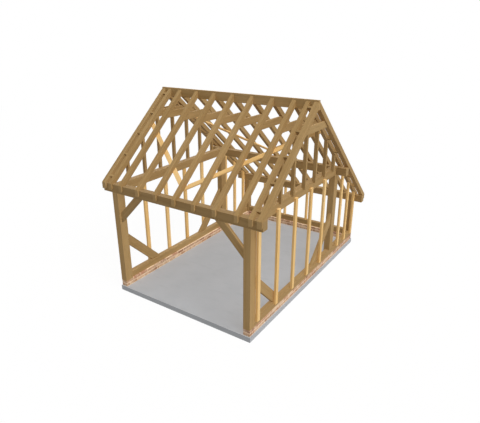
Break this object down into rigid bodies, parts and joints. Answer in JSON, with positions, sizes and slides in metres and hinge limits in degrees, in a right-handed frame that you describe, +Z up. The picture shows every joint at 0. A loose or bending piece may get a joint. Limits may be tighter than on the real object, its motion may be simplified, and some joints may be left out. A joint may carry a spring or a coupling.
{
  "type": "oak timber frame",
  "caption": "Open-fronted oak frame with posts, plates, ties, braces, studs and a long collared-rafter roof over an outshot, on a brick plinth and a concrete slab.",
  "frame": {"origin": "centre of the slab's underside", "axes": "+X to the right along the open front, +Y from the open front to the rear, +Z up"},
  "size_m": [4.11, 5.58, 4.5],
  "materials": {
    "oak": "sawn, matt",
    "softwood": "planed, matt",
    "brick": "rough, matt",
    "concrete": "floated, matt"
  },
  "bodies": {
    "root": {"base_slab": "concrete", "plinth_left": "brick", "plinth_right": "brick", "plinth_rear": "brick", "post_front_left": "oak", "post_front_right": "oak", "post_arcade_left": "oak", "post_arcade_right": "oak", "post_rear_left": "oak", "post_rear_right": "oak", "sill_left": "oak", "sill_right": "oak", "sill_rear": "oak", "front_plate": "oak", "arcade_plate": "oak", "rear_plate": "oak", "tie_left": "oak", "tie_right": "oak", "knee_left": "oak", "knee_right": "oak", "down_brace_front_left": "oak", "down_brace_front_right": "oak", "down_brace_rear_left": "oak", "down_brace_rear_right": "oak", "ridge_board": "oak", "collars": "oak", "rafter_front_1": "oak", "rafter_front_2": "oak", "rafter_front_3": "oak", "rafter_front_4": "oak", "rafter_front_5": "oak", "rafter_front_6": "oak", "rafter_front_7": "oak", "rafter_front_8": "oak", "rafter_front_9": "oak", "rafter_front_10": "oak", "rafter_front_11": "oak", "rafter_rear_1": "oak", "rafter_rear_2": "oak", "rafter_rear_3": "oak", "rafter_rear_4": "oak", "rafter_rear_5": "oak", "rafter_rear_6": "oak", "rafter_rear_7": "oak", "rafter_rear_8": "oak", "rafter_rear_9": "oak", "rafter_rear_10": "oak", "rafter_rear_11": "oak", "noggins_left": "oak", "noggins_right": "oak", "gable_studs_left": "oak", "gable_studs_right": "oak", "studs_left": "softwood", "studs_right": "softwood", "studs_rear": "softwood", "wind_brace_front_left": "softwood", "wind_brace_front_right": "softwood", "wind_brace_rear_left": "softwood", "wind_brace_rear_right": "softwood"}
  },
  "joints": []
}
